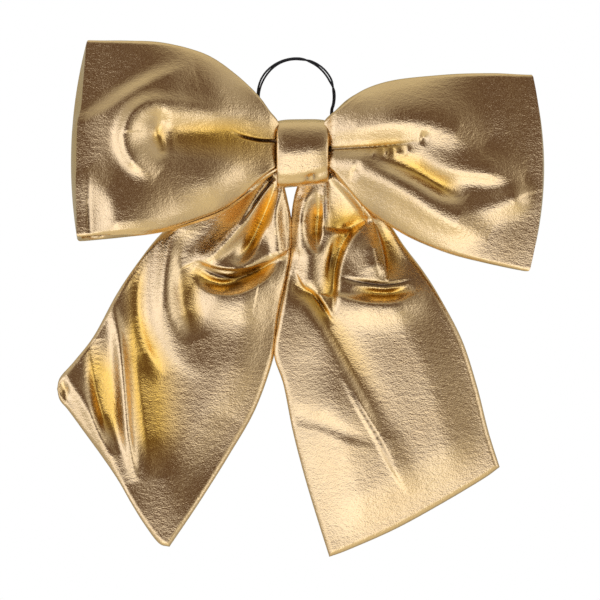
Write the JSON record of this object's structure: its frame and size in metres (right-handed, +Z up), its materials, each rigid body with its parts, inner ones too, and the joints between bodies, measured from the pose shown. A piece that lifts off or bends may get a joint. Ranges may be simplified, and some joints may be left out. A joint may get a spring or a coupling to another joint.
{
  "type": "cheer hair bow",
  "caption": "Padded metallic hair bow: open loops, slanted tails, a wrapped centre knot and a hair elastic ring behind it.",
  "frame": {"origin": "centre of the knot's flat back face, which lies against the hair", "axes": "+Z up, +Y out of the back of the knot, so the front of the bow faces -Y; +X to the right as the bow is looked at"},
  "size_m": [0.2089, 0.0349, 0.2224],
  "materials": {
    "gold_lame": "metallic, crinkled sheen",
    "white_wadding": "matte",
    "black_elastic": "satin",
    "gold_thread": "matte"
  },
  "bodies": {
    "knot": {"knot_wrap": "gold_lame", "loop_gather": "gold_lame", "tail_gather": "gold_lame", "binding_thread": "gold_thread"},
    "left_loop": {"left_loop_cover": "gold_lame", "left_loop_padding": "white_wadding"},
    "right_loop": {"right_loop_cover": "gold_lame", "right_loop_padding": "white_wadding"},
    "left_tail": {"left_tail_cover": "gold_lame", "left_tail_padding": "white_wadding"},
    "right_tail": {"right_tail_cover": "gold_lame", "right_tail_padding": "white_wadding"},
    "elastic": {"hair_elastic": "black_elastic"}
  },
  "joints": [
    {"name": "left_loop_flex", "type": "hinge", "parent": "knot", "child": "left_loop", "pos_m": [-0.0152, -0.0187, 0], "axis": [0, 0, 1], "range_deg": [0, 25], "stiffness_Nm_per_rad": 0.02},
    {"name": "right_loop_flex", "type": "hinge", "parent": "knot", "child": "right_loop", "pos_m": [0.0152, -0.0187, 0], "axis": [0, 0, -1], "range_deg": [0, 25], "stiffness_Nm_per_rad": 0.02},
    {"name": "left_tail_swing", "type": "hinge", "parent": "knot", "child": "left_tail", "pos_m": [0, -0.0108, -0.0145], "axis": [1, 0, 0], "range_deg": [0, 45], "stiffness_Nm_per_rad": 0.01},
    {"name": "right_tail_swing", "type": "hinge", "parent": "knot", "child": "right_tail", "pos_m": [0, -0.0108, -0.0145], "axis": [1, 0, 0], "range_deg": [0, 45], "stiffness_Nm_per_rad": 0.01},
    {"name": "elastic_swing", "type": "hinge", "parent": "knot", "child": "elastic", "pos_m": [0, -0.00495, 0.0075], "axis": [-1, 0, 0], "range_deg": [0, 110]}
  ]
}
